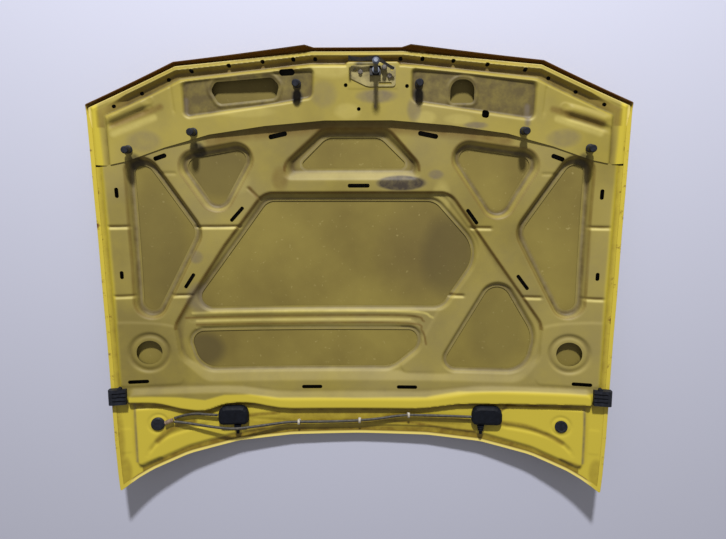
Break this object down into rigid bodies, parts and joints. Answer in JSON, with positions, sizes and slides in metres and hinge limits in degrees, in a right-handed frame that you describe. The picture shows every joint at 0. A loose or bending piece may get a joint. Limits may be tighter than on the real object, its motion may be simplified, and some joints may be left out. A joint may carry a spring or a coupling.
{
  "type": "car bonnet",
  "caption": "Pressed car bonnet seen from inside: crowned skin, ribbed inner frame, lock striker, rubber buffers and washer nozzles.",
  "frame": {"origin": "lowest point of the crown in z, middle of the plan box in x and y", "axes": "+X across the car to the right as seen on the inner face, +Y towards the nose, +Z out of the inner face"},
  "size_m": [1.4346, 1.2456, 0.149],
  "materials": {
    "black_plastic": "matte black plastic",
    "black_steel": "black, semi gloss",
    "hose": "dark rubber hose, dusty",
    "paint_inner": "duller yellow paint under a film of dust",
    "paint_outer": "gloss yellow paint with wear along the edges",
    "pale_plastic": "pale plastic",
    "rubber": "matte black rubber",
    "steel": "plated steel, slightly dull"
  },
  "bodies": {
    "bonnet": {"outer_skin": "paint_outer", "inner_frame": "paint_inner", "front_inner_panel": "paint_inner", "buffer_outer_left": "rubber", "buffer_outer_right": "rubber", "buffer_middle_left": "rubber", "buffer_middle_right": "rubber", "buffer_inner_left": "rubber", "buffer_inner_right": "rubber", "side_buffer_left": "rubber", "side_buffer_right": "rubber", "striker_plate": "steel", "striker_bracket": "black_steel", "striker_pin": "steel", "catch_rivet": "steel", "catch_spring": "steel", "plate_bolt_left": "steel", "plate_bolt_right": "steel", "lock_reinforcement": "steel", "hinge_reinforcement_left": "steel", "hinge_nut_left_rear": "steel", "hinge_nut_left_front": "steel", "hinge_reinforcement_right": "steel", "hinge_nut_right_rear": "steel", "hinge_nut_right_front": "steel", "hose_grommet": "rubber", "blank_plug": "rubber", "nozzle_body_left": "black_plastic", "nozzle_stub_left": "black_plastic", "nozzle_body_right": "black_plastic", "nozzle_stub_right": "black_plastic", "hose_connector": "pale_plastic", "washer_hose_long": "hose", "washer_hose_short": "hose", "hose_clip_left": "pale_plastic", "hose_clip_middle": "pale_plastic", "hose_clip_right": "pale_plastic"},
    "catch": {"catch_lever": "black_steel"}
  },
  "joints": [
    {"name": "catch_pivot", "type": "hinge", "parent": "bonnet", "child": "catch", "pos_m": [0.06889, 0.56276, 0.08846], "axis": [0.0058, 0.1065, -0.9943], "range_deg": [0, 14], "stiffness_Nm_per_rad": 0.3, "springref_deg": -14.32}
  ]
}
